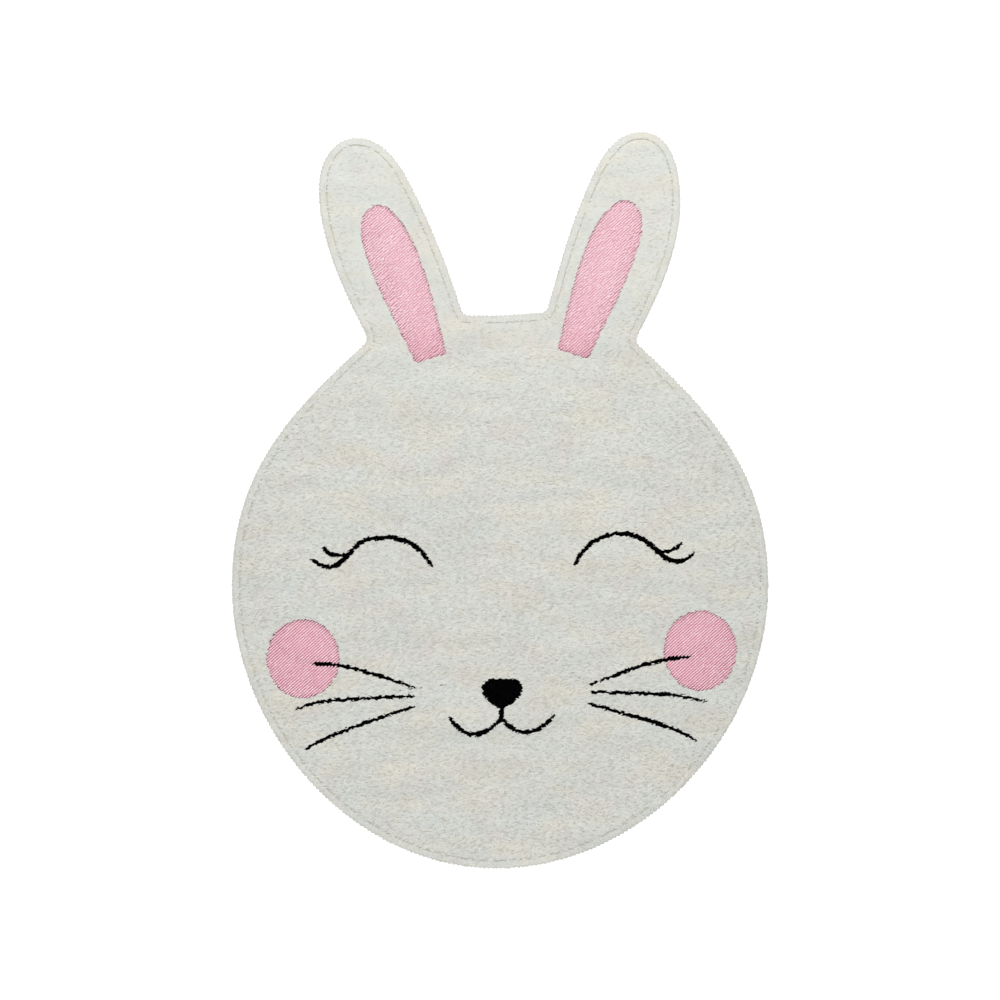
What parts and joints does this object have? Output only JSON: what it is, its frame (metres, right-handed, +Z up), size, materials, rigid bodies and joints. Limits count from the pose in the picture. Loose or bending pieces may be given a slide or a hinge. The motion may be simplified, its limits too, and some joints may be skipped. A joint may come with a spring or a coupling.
{
  "type": "rabbit shaped kids rug",
  "caption": "Flat rabbit-face rug for a child's room: pale pile, lower pink flat-woven inner ears and cheeks, black woven face lines, and a turned and stitched edge.",
  "frame": {"origin": "middle of the rug's outline, on its flat underside", "axes": "+Z up out of the pile, +Y from the chin to the ears, +X to the right of a viewer who sees the ears at the top"},
  "size_m": [0.8, 1.1, 0.008],
  "materials": {
    "pile_cream": "matt short chenille pile, off-white with faint cream patches",
    "flatweave_pink": "matt pink twill with pale flecks, woven flat below the pile",
    "flatweave_black": "matt black yarn, woven flat below the pile",
    "edge_thread": "matt cream sewing thread of the seam along the turned edge",
    "backing_cotton": "matt plain woven cotton underside"
  },
  "bodies": {
    "root": {"rug": "pile_cream"}
  },
  "joints": []
}
